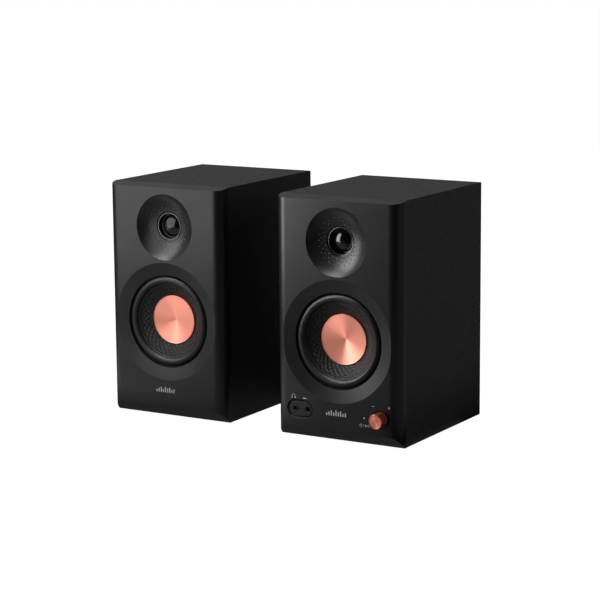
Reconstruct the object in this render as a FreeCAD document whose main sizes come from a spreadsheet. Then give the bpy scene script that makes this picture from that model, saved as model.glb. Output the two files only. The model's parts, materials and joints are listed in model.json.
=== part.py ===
import FreeCAD, Part
import math
import os

# Pair of powered desktop speakers, millimetres, +Z up.
# Row frame: +X to the right seen from the front, +Y to the back, Z = 0 on the desk.
# Each speaker is drawn in its own local frame: u = 0 on its centre line, v = 0 on
# the flat of its front face and growing to the back, w = 0 under the cabinet.
# A sub-part's Placement carries it from there to its place in the row frame.

doc = FreeCAD.newDocument("desktop_speakers")
sheet = doc.addObject("Spreadsheet::Sheet", "Dims")


class Q:
    """A size with the sheet expression that drives it."""

    def __init__(self, text, value):
        self.text, self.value = text, float(value)

    def __add__(self, o):
        o = q(o)
        return Q("(%s + %s)" % (self.text, o.text), self.value + o.value)

    def __radd__(self, o):
        return q(o) + self

    def __sub__(self, o):
        o = q(o)
        return Q("(%s - %s)" % (self.text, o.text), self.value - o.value)

    def __rsub__(self, o):
        return q(o) - self

    def __mul__(self, o):
        o = q(o)
        return Q("(%s * %s)" % (self.text, o.text), self.value * o.value)

    def __rmul__(self, o):
        return q(o) * self

    def __truediv__(self, o):
        o = q(o)
        return Q("(%s / %s)" % (self.text, o.text), self.value / o.value)

    def __neg__(self):
        return Q("(0 - %s)" % self.text, -self.value)


def q(o):
    return o if isinstance(o, Q) else Q("%.6f" % o, o)


class Dims:
    pass


D = Dims()
SIZES = [
    # cabinet
    ("cab_w", 124.0), ("cab_tall", 216.0), ("cab_deep", 158.0), ("wall", 9.0),
    ("baffle_t", 13.1), ("corner_rad", 10.6), ("bevel_up", 10.5), ("bevel_deep", 10.6), ("top_drop", 2.5),
    ("gap", 60.0), ("front_y", -77.0), ("left_back", 7.0), ("foot_t", 1.5), ("foot_rad", 7.0),
    ("rear_in", 146.0), ("rear_out", 155.0),
    # woofer, depths from the front face
    ("woofer_z", 89.9), ("w_dish_rad", 54.7), ("w_dish_deep", 3.0), ("w_hole_rad", 43.2), ("w_step", 6.1),
    ("w_seat_rad", 51.3), ("w_flange_v", 7.5), ("w_flange_rad", 51.0), ("ear_pitch", 54.0), ("ear_rad", 6.9),
    ("screw_pitch", 55.5), ("screw_rad", 1.6), ("cone_rad", 34.5), ("cone_v", 7.2), ("neck_rad", 13.3), ("neck_v", 20.6),
    ("roll_mid", 38.0), ("roll_out", 3.7), ("roll_in", 3.0), ("surround_rad", 50.5),
    ("cap_rad", 22.6), ("cap_v", 13.1), ("cap_deep", 4.4), ("magnet_rad", 32.0), ("motor_v", 40.0),
    # tweeter
    ("tweeter_z", 177.3), ("t_dish_rad", 30.3), ("t_dish_deep", 8.0), ("t_hole_rad", 13.9), ("t_step", 9.8),
    ("t_seat_rad", 22.0), ("dome_rad", 10.5), ("dome_v", 14.0), ("dome_up", 4.6), ("dimple_rad", 0.58),
    # controls on the front of the right speaker
    ("knob_u", 44.3), ("knob_z", 26.0), ("knob_rad", 6.8), ("knob_long", 11.0), ("knob_well", 8.3), ("knob_well_deep", 1.6),
    ("jack_z", 26.4), ("phones_u", -42.6), ("aux_u", -30.2), ("jack_bore", 1.8), ("pill_u", -37.6), ("pill_long", 26.0),
    ("pill_tall", 16.6), ("pill_in", 1.25), ("pill_deep", 2.2), ("light_u", 27.3), ("light_z", 25.3), ("light_rad", 0.8),
    # back of the right speaker
    ("plate_w", 96.0), ("plate_tall", 136.0), ("plate_z", 79.0), ("plate_t", 2.0), ("open_w", 84.0), ("open_tall", 122.0),
    ("port_z", 180.0), ("port_rad", 15.0), ("port_wall", 2.0), ("mains_u", 25.0), ("mains_z", 39.0), ("rocker_tilt", 10.0),
    ("tone_z", 131.0), ("in_a", -29.0), ("in_b", -7.0), ("balanced_z", 104.0), ("phono_z", 78.0), ("trim_rad", 5.6),
    ("out_u", -18.0), ("out_z", 45.0), ("left_out_z", 60.0),
]
for n, (alias, size) in enumerate(SIZES):
    cell = "B%d" % (n + 1)
    sheet.set("A%d" % (n + 1), alias)
    sheet.set(cell, str(size))
    sheet.setAlias(cell, alias)
    setattr(D, alias, Q("Dims." + alias, size))
doc.recompute()

finals = []
X, Y, Z = FreeCAD.Vector(1, 0, 0), FreeCAD.Vector(0, 1, 0), FreeCAD.Vector(0, 0, 1)
count = [0]


def uid(stem):
    count[0] += 1
    return "%s_%d" % (stem, count[0])


def bind(obj, prop, size):
    size = q(size)
    obj.setExpression(prop, size.text)


def place(obj, u, v, w, rot=None):
    u, v, w = q(u), q(v), q(w)
    obj.Placement = FreeCAD.Placement(FreeCAD.Vector(u.value, v.value, w.value), rot or FreeCAD.Rotation())
    for key, size in (("x", u), ("y", v), ("z", w)):
        obj.setExpression("Placement.Base." + key, size.text)
    return obj


# --- plain solids ---------------------------------------------------------
def box(u0, v0, w0, lu, lv, lw):
    o = doc.addObject("Part::Box", uid("Block"))
    for prop, size in (("Length", lu), ("Width", lv), ("Height", lw)):
        setattr(o, prop, q(size).value)
        bind(o, prop, size)
    return place(o, u0, v0, w0)


def mid_box(u, v0, w, lu, lv, lw):
    """A block centred on (u, w) that starts at depth v0."""
    return box(q(u) - q(lu) / 2, v0, q(w) - q(lw) / 2, lu, lv, lw)


ROT = {"Y": FreeCAD.Rotation(X, -90), "Z": FreeCAD.Rotation(), "X": FreeCAD.Rotation(Y, 90)}


def cyl(rad, u, v, w, long, way="Y"):
    o = doc.addObject("Part::Cylinder", uid("Round"))
    o.Radius, o.Height = q(rad).value, q(long).value
    bind(o, "Radius", rad)
    bind(o, "Height", long)
    return place(o, u, v, w, ROT[way])


def cone(r1, r2, u, v, w, long, way="Y"):
    o = doc.addObject("Part::Cone", uid("Taper"))
    o.Radius1, o.Radius2, o.Height = q(r1).value, q(r2).value, q(long).value
    bind(o, "Radius1", r1)
    bind(o, "Radius2", r2)
    bind(o, "Height", long)
    return place(o, u, v, w, ROT[way])


def ring(r1, r2, u, v, w):
    """A torus whose axis runs front to back."""
    o = doc.addObject("Part::Torus", uid("Ring"))
    o.Radius1, o.Radius2 = q(r1).value, q(r2).value
    bind(o, "Radius1", r1)
    bind(o, "Radius2", r2)
    return place(o, u, v, w, ROT["Y"])


def fuse(*parts):
    o = doc.addObject("Part::MultiFuse", uid("Joined"))
    o.Shapes = list(parts)
    return o


def group(*parts):
    """Separate solids kept side by side in one sub-part."""
    o = doc.addObject("Part::Compound", uid("Group"))
    o.Links = list(parts)
    return o


def cut(base, *tools):
    o = doc.addObject("Part::Cut", uid("Cut"))
    o.Base = base
    o.Tool = tools[0] if len(tools) == 1 else fuse(*tools)
    return o


def pill(u, v, w, long, tall, deep):
    """A bar with round ends, lying along u."""
    r = q(tall) / 2
    half = (q(long) - q(tall)) / 2
    return fuse(cyl(r, q(u) - half, v, w, deep), cyl(r, q(u) + half, v, w, deep), mid_box(u, v, w, half * 2, deep, tall))


# --- sketched solids ------------------------------------------------------
def plane_of(body, role):
    return [f for f in body.Origin.OriginFeatures if f.Role == role][0]


def profile(body, role, pts, offset=None):
    """A closed outline. Each entry is (x, y) for a straight side that starts
    there, or (x, y, cx, cy, turn) for an arc about (cx, cy), turn +1 counter-clockwise."""
    sk = body.newObject("Sketcher::SketchObject", uid("Sketch"))
    sk.AttachmentSupport = [(plane_of(body, role), "")]
    sk.MapMode = "FlatFace"
    if offset:
        offset = [q(o) for o in offset]
        sk.AttachmentOffset = FreeCAD.Placement(FreeCAD.Vector(*[o.value for o in offset]), FreeCAD.Rotation())
        for key, size in zip("xyz", offset):
            sk.setExpression("AttachmentOffset.Base." + key, size.text)
    n = len(pts)
    ends = []
    for i, p in enumerate(pts):
        a = (q(p[0]).value, q(p[1]).value)
        nxt = pts[(i + 1) % n]
        b = (q(nxt[0]).value, q(nxt[1]).value)
        va, vb = FreeCAD.Vector(a[0], a[1], 0), FreeCAD.Vector(b[0], b[1], 0)
        if len(p) == 2:
            g = sk.addGeometry(Part.LineSegment(va, vb), False)
            ends.append((g, 1, 2))
        else:
            c = FreeCAD.Vector(q(p[2]).value, q(p[3]).value, 0)
            rad = (va - c).Length
            ta = math.atan2(a[1] - c.y, a[0] - c.x)
            tb = math.atan2(b[1] - c.y, b[0] - c.x)
            circle = Part.Circle(c, Z, rad)
            if p[4] > 0:
                g = sk.addGeometry(Part.ArcOfCircle(circle, ta, tb), False)
                ends.append((g, 1, 2))
            else:
                g = sk.addGeometry(Part.ArcOfCircle(circle, tb, ta), False)
                ends.append((g, 2, 1))
    import Sketcher
    con = Sketcher.Constraint
    for i, (g, s, e) in enumerate(ends):
        g2, s2, _ = ends[(i + 1) % n]
        sk.addConstraint(con("Coincident", g, e, g2, s2))
    for i, p in enumerate(pts):
        g, s, e = ends[i]
        x, y = q(p[0]), q(p[1])
        if abs(x.value) < 1e-9:
            sk.addConstraint(con("PointOnObject", g, s, -2))
        else:
            k = sk.addConstraint(con("DistanceX", -1, 1, g, s, x.value))
            sk.setExpression("Constraints[%d]" % k, x.text)
        if abs(y.value) < 1e-9:
            sk.addConstraint(con("PointOnObject", g, s, -1))
        else:
            k = sk.addConstraint(con("DistanceY", -1, 1, g, s, y.value))
            sk.setExpression("Constraints[%d]" % k, y.text)
        if len(p) > 2:
            nxt = pts[(i + 1) % n]
            dx = abs(x.value - q(nxt[0]).value)
            dy = abs(y.value - q(nxt[1]).value)
            cx, cy = q(p[2]), q(p[3])
            if dx > dy:
                if abs(cy.value) < 1e-9:
                    sk.addConstraint(con("PointOnObject", g, 3, -1))
                else:
                    k = sk.addConstraint(con("DistanceY", -1, 1, g, 3, cy.value))
                    sk.setExpression("Constraints[%d]" % k, cy.text)
            elif abs(cx.value) < 1e-9:
                sk.addConstraint(con("PointOnObject", g, 3, -2))
            else:
                k = sk.addConstraint(con("DistanceX", -1, 1, g, 3, cx.value))
                sk.setExpression("Constraints[%d]" % k, cx.text)
    return sk


def new_body():
    return doc.addObject("PartDesign::Body", uid("Body"))


def turned(pts, u=0, w=0, body=None):
    """A solid of revolution about a front-to-back axis; pts are (radius, depth)."""
    body = body or new_body()
    sk = profile(body, "XY_Plane", pts)
    rev = body.newObject("PartDesign::Revolution", uid("Turned"))
    rev.Profile = sk
    rev.ReferenceAxis = (sk, ["V_Axis"])
    rev.Angle = 360.0
    body.Tip = rev
    place(body, u, 0, w)
    return body


def turned_cut(body, pts, u=0, w=0):
    sk = profile(body, "XY_Plane", pts, (u, 0, w))
    g = body.newObject("PartDesign::Groove", uid("Groove"))
    g.Profile = sk
    g.ReferenceAxis = (sk, ["V_Axis"])
    g.Angle = 360.0
    body.Tip = g
    return g


def pulled(pts, long, role="XY_Plane", mid=False, body=None, offset=None):
    body = body or new_body()
    sk = profile(body, role, pts, offset)
    pad = body.newObject("PartDesign::Pad", uid("Pad"))
    pad.Profile = sk
    pad.Length = q(long).value
    bind(pad, "Length", long)
    if mid:
        pad.SideType = "Symmetric"
    body.Tip = pad
    return body


def sunk(body, pts, long, role, offset=None):
    """A pocket cut evenly to both sides of its sketch."""
    sk = profile(body, role, pts, offset)
    p = body.newObject("PartDesign::Pocket", uid("Pocket"))
    p.Profile = sk
    p.Length = q(long).value
    bind(p, "Length", long)
    p.SideType = "Symmetric"
    body.Tip = p
    return p


def around(body, feature, times, axis="Y_Axis"):
    """Repeat a feature about one of the body's own axes."""
    pat = body.newObject("PartDesign::PolarPattern", uid("Pattern"))
    pat.Originals = [feature]
    pat.Axis = (plane_of(body, axis), [""])
    pat.Angle = 360.0
    pat.Occurrences = times
    body.Tip = pat
    return pat


def node(obj, label, side, w=None, u=None, v=None, rot=None):
    """Name a finished sub-part and set it in the row frame."""
    obj.Label = label
    sign = 1 if side == "right" else -1
    cu = (D.gap + D.cab_w) / 2 * sign
    cv = D.front_y if side == "right" else D.front_y + D.left_back
    place(obj, cu + (u if u is not None else 0), cv + (v if v is not None else 0), D.foot_t + (w if w is not None else 0), rot)
    finals.append(obj)
    return obj


half_w = D.cab_w / 2

# ==========================================================================
# Pieces that both speakers have
# ==========================================================================
for side in ("right", "left"):
    right = side == "right"
    # cabinet shell: a four-sided box, open to the front and the back
    shell = cut(
        box(-half_w, D.baffle_t, 0, D.cab_w, D.cab_deep - D.baffle_t, D.cab_tall),
        box(-(half_w - D.wall), D.baffle_t - 1, D.wall, D.cab_w - D.wall * 2, D.cab_deep - D.baffle_t + 2, D.cab_tall - D.wall * 2),
    )
    node(shell, side + "_cabinet", side)

    # front baffle: rounded upright corners, bevel along the bottom, sloping top
    r = D.corner_rad
    b = pulled([
        (-half_w, D.baffle_t), (-half_w, r, -half_w + r, r, 1), (-half_w + r, 0),
        (half_w - r, 0, half_w - r, r, 1), (half_w, r), (half_w, D.baffle_t),
    ], D.cab_tall)
    sunk(b, [(-1, -1), (D.bevel_deep, -1), (D.bevel_deep, 0), (0, D.bevel_up), (-1, D.bevel_up)], D.cab_w + 4, "YZ_Plane")
    sunk(b, [(-1, D.cab_tall - D.top_drop), (0, D.cab_tall - D.top_drop), (D.baffle_t, D.cab_tall), (D.baffle_t, D.cab_tall + 2),
             (-1, D.cab_tall + 2)], D.cab_w + 4, "YZ_Plane")
    turned_cut(b, [(0, -1), (D.w_dish_rad, -1), (D.w_dish_rad, 0), (D.w_hole_rad, D.w_dish_deep), (D.w_hole_rad, D.w_step),
                   (D.w_seat_rad, D.w_step), (D.w_seat_rad, D.baffle_t + 1), (0, D.baffle_t + 1)], 0, D.woofer_z)
    turned_cut(b, [(0, -1), (D.t_dish_rad, -1), (D.t_dish_rad, 0, 7.74, -25.43, 1), (D.t_hole_rad, D.t_dish_deep),
                   (D.t_hole_rad, D.t_step), (D.t_seat_rad, D.t_step), (D.t_seat_rad, D.baffle_t + 1), (0, D.baffle_t + 1)],
               0, D.tweeter_z)
    tools = []
    for su in (1, -1):
        for sw in (1, -1):
            e = D.ear_pitch * math.sqrt(0.5)
            s = D.screw_pitch * math.sqrt(0.5)
            tools.append(cyl(D.ear_rad + 0.3, e * su, D.w_flange_v, D.woofer_z + e * sw, D.baffle_t))
            tools.append(cyl(D.screw_rad, s * su, 3.0, D.woofer_z + s * sw, 8))
    # three staggered rings of fine dimples in the tweeter dish
    for turn, (rad, deep) in enumerate(((15.8, 8.3), (18.4, 7.55), (21.0, 6.55))):
        for k in range(24):
            a = math.radians(15 * k + (7.5 if turn == 1 else 0))
            tools.append(cyl(D.dimple_rad, rad * math.cos(a), -1, D.tweeter_z + rad * math.sin(a), deep + 1))
    if right:
        r_out, r_in = D.pill_tall / 2, D.pill_tall / 2 - D.pill_in
        half = (D.pill_long - D.pill_tall) / 2
        lip = new_body()
        pulled([(-0.01, -r_out), (D.pill_deep, -r_in), (D.pill_deep, r_in), (-0.01, r_out)], half * 2, "YZ_Plane", True, lip)
        place(lip, D.pill_u, 0, D.jack_z)
        tools += [
            cone(r_out, r_in, D.pill_u - half, -0.01, D.jack_z, D.pill_deep + 0.01),
            cone(r_out, r_in, D.pill_u + half, -0.01, D.jack_z, D.pill_deep + 0.01), lip,
            pill(D.pill_u, 2.0, D.jack_z, D.pill_long - D.pill_in * 2, D.pill_tall - D.pill_in * 2, 1.4),
            mid_box(D.pill_u + 1.1, 3, D.jack_z, 21.8, D.baffle_t, 11.4),
            cyl(D.knob_well, D.knob_u, -1, D.knob_z, D.knob_well_deep + 1),
            cyl(3.7, D.knob_u, 0, D.knob_z, 8),
            mid_box(D.knob_u, 4.2, D.knob_z, 14, D.baffle_t, 14),
            cyl(D.light_rad, D.light_u, -1, D.light_z, D.baffle_t + 2),
        ]
    node(cut(b, *tools), side + "_front_baffle", side)

    # rear board, set in a little from the back edges
    board = box(-(half_w - D.wall), D.rear_in, D.wall, D.cab_w - D.wall * 2, D.rear_out - D.rear_in, D.cab_tall - D.wall * 2)
    holes = [cyl(D.port_rad + D.port_wall + 0.2, 0, D.rear_in - 1, D.port_z, 12)]
    if right:
        holes.append(mid_box(0, D.rear_in - 1, D.plate_z, D.open_w, 12, D.open_tall))
        for su in (1, -1):
            for w in (-64.5, 0, 64.5):
                holes.append(cyl(D.screw_rad, 45.2 * su, D.rear_in + 1.5, D.plate_z + w, 12))
    else:
        holes.append(mid_box(0, D.rear_in - 1, D.left_out_z, 36.4, 12, 20.4))
    node(cut(board, *holes), side + "_rear_board", side)

    # woofer basket: flange with four ears, open legs, spider ledge, motor seat
    bk = turned([(43.5, D.w_flange_v), (D.w_flange_rad, D.w_flange_v), (D.w_flange_rad, D.w_flange_v + 2), (46, D.w_flange_v + 2),
                 (38.9, 26), (38.9, 30), (34, D.motor_v), (14.6, D.motor_v), (14.6, D.motor_v - 2), (32, D.motor_v - 2), (32, 28),
                 (36.7, 28), (36.7, 26), (43.5, 10.5)])
    win = sunk(bk, [(30, 13), (52, 13), (52, 24), (30, 24)], 26, "XY_Plane")
    around(bk, win, 5)
    ears, bores = [], []
    for su in (1, -1):
        for sw in (1, -1):
            e = D.ear_pitch * math.sqrt(0.5)
            s = D.screw_pitch * math.sqrt(0.5)
            ears.append(cut(cyl(D.ear_rad, e * su, D.w_flange_v, e * sw, 2), cyl(D.w_flange_rad - 2, 0, D.w_flange_v - 1, 0, 4)))
            bores.append(cyl(D.screw_rad + 0.05, s * su, D.w_flange_v - 1, s * sw, 4))
    node(cut(fuse(bk, *ears), *bores), side + "_woofer_basket", side, D.woofer_z)

    # rubber surround: a half roll with a flat lip on each side
    node(turned([(33.1, 6.4), (D.roll_mid - D.roll_out, 6.4, D.roll_mid, 6.4, 1), (D.roll_mid + D.roll_out, 6.4), (D.surround_rad, 6.4),
                 (D.surround_rad, D.cone_v), (D.roll_mid + D.roll_in, D.cone_v, D.roll_mid, D.cone_v, -1), (D.roll_mid - D.roll_in, D.cone_v),
                 (33.1, D.cone_v)]), side + "_woofer_surround", side, D.woofer_z)

    # paper cone with a flat rim, running down to the coil's neck
    node(turned([(D.cone_rad, D.cone_v), (D.cone_rad, D.cone_v + 0.7), (33.3, D.cone_v + 0.7), (D.neck_rad, D.neck_v + 0.9),
                 (D.neck_rad, D.neck_v), (33.0, D.cone_v)]), side + "_woofer_cone", side, D.woofer_z)

    # dust cap: a shallow hollow cone in turned metal with a small raised rim
    node(turned([(0, D.cap_v + D.cap_deep), (D.cap_rad - 0.7, D.cap_v), (D.cap_rad - 0.2, D.cap_v), (D.cap_rad, D.cap_v + 0.25),
                 (D.cap_rad, D.cap_v + 1.1), (D.cap_rad - 0.9, D.cap_v + 0.85), (0, D.cap_v + D.cap_deep + 0.8)]),
         side + "_dust_cap", side, D.woofer_z)

    # voice coil: thin former with its winding in the magnet's gap
    node(turned([(D.neck_rad - 0.4, 17), (D.neck_rad, 17), (D.neck_rad, 35), (D.neck_rad + 0.6, 35), (D.neck_rad + 0.6, 47),
                 (D.neck_rad - 0.4, 47)]), side + "_voice_coil", side, D.woofer_z)

    # spider: corrugated centring disc
    front, back = [(D.neck_rad, 26.6)], []
    for k in range(10):
        rr = 15.0 + 1.95 * k
        front.append((rr, 25.6 if k % 2 == 0 else 26.9))
    front += [(34.2, 26.9), (36.4, 26.9), (36.4, 27.5), (34.0, 27.5)]
    for k in range(9, -1, -1):
        rr = 15.0 + 1.95 * k
        back.append((rr, 26.2 if k % 2 == 0 else 27.5))
    node(turned(front + back + [(D.neck_rad, 27.2)]), side + "_spider", side, D.woofer_z)

    # woofer motor: top plate, magnet, back plate and pole
    mr, mv = D.magnet_rad, D.motor_v
    node(turned([(14.5, mv), (mr - 2, mv), (mr - 2, mv + 5), (mr, mv + 5), (mr, mv + 17), (mr - 2, mv + 17), (mr - 2, mv + 21),
                 (0, mv + 21), (0, mv + 1), (12.3, mv + 1), (12.3, mv + 17), (18, mv + 17), (18, mv + 5), (14.5, mv + 5)]),
         side + "_woofer_magnet", side, D.woofer_z)

    # pan-head screws: four hold the basket, six more hold the right back plate
    screws = []
    for su in (1, -1):
        for sw in (1, -1):
            s = D.screw_pitch * math.sqrt(0.5)
            v = D.w_flange_v + 2
            screws.append(fuse(cyl(D.screw_rad, s * su, 3.2, D.woofer_z + s * sw, v - 3.2), cyl(2.9, s * su, v, D.woofer_z + s * sw, 1.6)))
    if right:
        v = D.rear_out + D.plate_t
        for su in (1, -1):
            for w in (-64.5, 0, 64.5):
                head = fuse(cyl(2.9, 45.2 * su, v, D.plate_z + w, 0.9), cone(2.9, 2.0, 45.2 * su, v + 0.9, D.plate_z + w, 0.6),
                            cyl(D.screw_rad, 45.2 * su, D.rear_in + 2, D.plate_z + w, v - D.rear_in - 2))
                screws.append(cut(head, mid_box(45.2 * su, v + 0.6, D.plate_z + w, 3.0, 2, 0.6), mid_box(45.2 * su, v + 0.6, D.plate_z + w, 0.6, 2, 3.0)))
    node(group(*screws), side + "_screws", side)

    # tweeter: housing with a short collar, bright ring, dome with its coil, magnet
    node(turned([(12.85, 8.2), (13.4, 8.0), (13.75, 8.3), (13.75, D.t_step), (D.t_seat_rad - 0.3, D.t_step), (D.t_seat_rad - 0.3, 13.3),
                 (17, 13.3), (17, 20), (11.4, 20), (11.4, 10.4), (12.85, 10.4)]), side + "_tweeter_housing", side, D.tweeter_z)
    node(turned([(11.6, 10.4), (11.6, 8.9, 12.2, 8.9, 1), (12.8, 8.9), (12.8, 10.4)]), side + "_tweeter_trim_ring", side, D.tweeter_z)
    c = 9.4 + (10.5 ** 2 + 4.6 ** 2) / 9.2
    node(turned([(0, D.dome_v - D.dome_up, 0, c, 1), (D.dome_rad, D.dome_v), (D.dome_rad + 0.6, D.dome_v), (D.dome_rad + 0.6, D.dome_v + 0.4),
                 (D.dome_rad, D.dome_v + 0.4), (D.dome_rad, 19), (D.dome_rad - 0.4, 19), (D.dome_rad - 0.4, D.dome_v + 0.4, 0, c + 0.2, -1),
                 (0, D.dome_v - D.dome_up + 0.4)]), side + "_tweeter_dome", side, D.tweeter_z)
    node(turned([(0, 15.2), (9.5, 15.2), (9.5, 20), (16, 20), (16, 30), (0, 30)]), side + "_tweeter_magnet", side, D.tweeter_z)

    # bass port: straight tube with a flared mouth on the back
    pr, po = D.port_rad, D.port_rad + D.port_wall
    node(turned([(pr, 95), (po, 95), (po, D.rear_out), (23, D.rear_out), (23, D.rear_out + 1.6), (22.4, D.rear_out + 2.2),
                 (21.5, D.rear_out + 2.2, pr + 6.5, D.rear_out - 4.3, 1), (pr, D.rear_out - 4.3)]), side + "_port_tube", side, D.port_z)

    # flat rubber feet
    feet = []
    for su in (1, -1):
        for v in (26, 138):
            feet.append(cyl(D.foot_rad, 46 * su, v, -D.foot_t, D.foot_t, "Z"))
    node(group(*feet), side + "_feet", side)

    # spring-clip terminal: housing with two wire holes, two levers on pins
    tu = D.out_u if right else q(0)
    tw = D.out_z if right else D.left_out_z
    tv = D.rear_out + D.plate_t if right else D.rear_out
    house = fuse(mid_box(0, 0, 0, 40, 2, 24), mid_box(0, -14, 0, 36, 14, 20))
    pockets = []
    for su in (1, -1):
        pockets += [mid_box(9 * su, -8, 2.3, 10, 12, 15), cyl(1.5, 9 * su, -10, -7.9, 14), cyl(1.06, 9 * su - 6.4, -1.4, 7.2, 12.8, "X")]
    node(cut(house, *pockets), side + "_terminal_housing", side, tw, tu, tv)
    for colour, su in (("red", 1), ("black", -1)):
        tab = pulled([(-3.2, 8.8), (-2.6, 9.2), (1.9, 9.2), (2.6, 8.5), (3.0, -1.5), (2.5, -4.2), (0.9, -4.7), (-0.9, -4.7), (-3.2, 4)],
                     9.2, "YZ_Plane", True)
        grips = [cyl(0.6, -6, 3.05, 0.6 - 1.7 * k, 12, "X") for k in range(3)]
        pin = cyl(1.0, -6.2, -1.4, 7.2, 12.4, "X")
        node(fuse(cut(tab, *grips), pin), "%s_terminal_lever_%s" % (side, colour), side, tw, tu + 9 * su, tv)

# ==========================================================================
# Right speaker: front controls
# ==========================================================================
S = "right"
# volume knob: knurled round cap, chamfered edge, hollow behind, fixed on its shaft
flutes = []
knob = turned([(0, -D.knob_long), (D.knob_rad - 0.7, -D.knob_long), (D.knob_rad, 0.6 - D.knob_long), (D.knob_rad, -0.6), (D.knob_rad - 0.4, 0.2),
               (5.2, 0.2), (5.2, -7), (3.0, -7), (3.0, -8.5), (0, -8.5)])
fl = profile(knob, "XZ_Plane", [(D.knob_rad - 0.32, 0), (D.knob_rad + 0.3, -0.34), (D.knob_rad + 0.3, 0.34)])
fp = knob.newObject("PartDesign::Pocket", "Knurl")
fp.Profile = fl
fp.Length = 11.0
fp.SideType = "Symmetric"
fp.Length = 17.6
knob.Tip = fp
around(knob, fp, 48)
node(knob, "volume_knob", S, D.knob_z, D.knob_u)
# shaft: turns and slides inside the encoder
node(cut(cyl(2.95, 0, -8.5, 0, 18.2), box(1.9, -8.6, -4, 3, 8, 8)), "encoder_shaft", S, D.knob_z, D.knob_u)
# rotor: a sleeve that turns with the shaft while the shaft slides through it
node(turned([(3.02, 5.0), (4.6, 5.0), (4.6, 7.0), (3.02, 7.0)]), "encoder_rotor", S, D.knob_z, D.knob_u)
# encoder case: square can with a bushing round the shaft
case = fuse(mid_box(0, 4.2, 0, 12, 9.2, 12), cyl(3.65, 0, 2.0, 0, 2.4))
node(cut(case, cyl(3.02, 0, 1, 0, 9.9), cyl(4.66, 0, 4.8, 0, 2.4)), "encoder_case", S, D.knob_z, D.knob_u)
# jack plate and the two small jacks
jp = cut(pill(D.pill_u, 1.2, D.jack_z, D.pill_long - D.pill_in * 2 - 0.5, D.pill_tall - D.pill_in * 2 - 0.5, 2.2),
         cyl(3.3, D.phones_u, 0, D.jack_z, 6), cyl(2.45, D.aux_u, 0, D.jack_z, 6))
node(jp, "jack_plate", S)
for name, u, front, rim in (("headphone_jack", D.phones_u, 0.75, 3.2), ("aux_jack", D.aux_u, 1.35, 2.4)):
    j = fuse(turned([(D.jack_bore, front + 0.3), (D.jack_bore + 0.3, front), (rim - 0.25, front), (rim, front + 0.25), (rim, 3.5), (D.jack_bore, 3.5)]),
             cut(mid_box(0, 3.4, 0, 7.6, 10.0, 8.6), cyl(D.jack_bore, 0, 3, 0, 9.1)))
    node(j, name, S, D.jack_z, u)
# light pipe for the status light
node(fuse(cyl(D.light_rad - 0.03, 0, 0.1, 0, 13.1), cyl(1.6, 0, 13.12, 0, 0.26)), "status_light", S, D.light_z, D.light_u)
# front circuit board behind the controls
fb = fuse(mid_box(0, 13.4, 25, 102, 1.6, 21), mid_box(-6, 15, 24, 9, 1.2, 9), mid_box(14, 15, 28, 6, 1.0, 6), mid_box(-24, 15, 26, 12, 5, 6))
node(cut(fb, cyl(3.2, D.knob_u, 12, D.knob_z, 6)), "front_board", S)

# ==========================================================================
# Right speaker: back plate and what it carries
# ==========================================================================
pv = D.rear_out
pt = pv + D.plate_t
plate_holes = [
    mid_box(D.mains_u, pv - 1, D.mains_z, 28.4, 6, 40.4), mid_box(D.out_u, pv - 1, D.out_z, 36.4, 6, 20.4),
    cyl(3.4, D.in_a, pv - 1, D.tone_z, 6), cyl(3.4, D.in_b, pv - 1, D.tone_z, 6),
    cyl(5.0, D.in_a, pv - 1, D.balanced_z, 6), cyl(5.0, D.in_b, pv - 1, D.balanced_z, 6),
    cyl(4.6, D.in_a, pv - 1, D.phono_z, 6), cyl(4.6, D.in_b, pv - 1, D.phono_z, 6),
]
for su in (1, -1):
    for w in (-64.5, 0, 64.5):
        plate_holes.append(cyl(D.screw_rad + 0.05, 45.2 * su, pv - 1, D.plate_z + w, 6))
node(cut(mid_box(0, pv, D.plate_z, D.plate_w, D.plate_t, D.plate_tall), *plate_holes), "amplifier_plate", S)

# mains module: two-pin inlet below, switch well above
mod = fuse(mid_box(0, 0, 0, 31, 1.6, 43), mid_box(0, -20, 0, 28, 20.8, 40))
inlet = cut(mod, pill(0, -12, -10.5, 17.6, 9.0, 20), mid_box(0, -9.5, 9.2, 12.2, 20, 19.0), cyl(1.04, -7.0, -1.0, 9.2, 14, "X"))
pins = [cyl(1.15, 4.3 * su, -12.5, -10.5, 10.5) for su in (1, -1)]
node(fuse(inlet, *pins), "mains_module", S, D.mains_z, D.mains_u, pt)
# rocker: shallow vee face on a cross pin, tilted to its off side
rk = pulled([(3.3, 8.4), (1.7, 0), (3.3, -8.4), (-1.5, -8.2), (-3.6, -3), (-3.6, 3), (-1.5, 8.2)], 11.4, "YZ_Plane", True)
rock = fuse(rk, cyl(1.0, -6.8, 0, 0, 13.6, "X"))
node(rock, "power_rocker", S, D.mains_z + 9.2, D.mains_u, pt - 1.0, FreeCAD.Rotation(X, -D.rocker_tilt.value))
rock.setExpression("Placement.Rotation.Angle", D.rocker_tilt.text)

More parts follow.
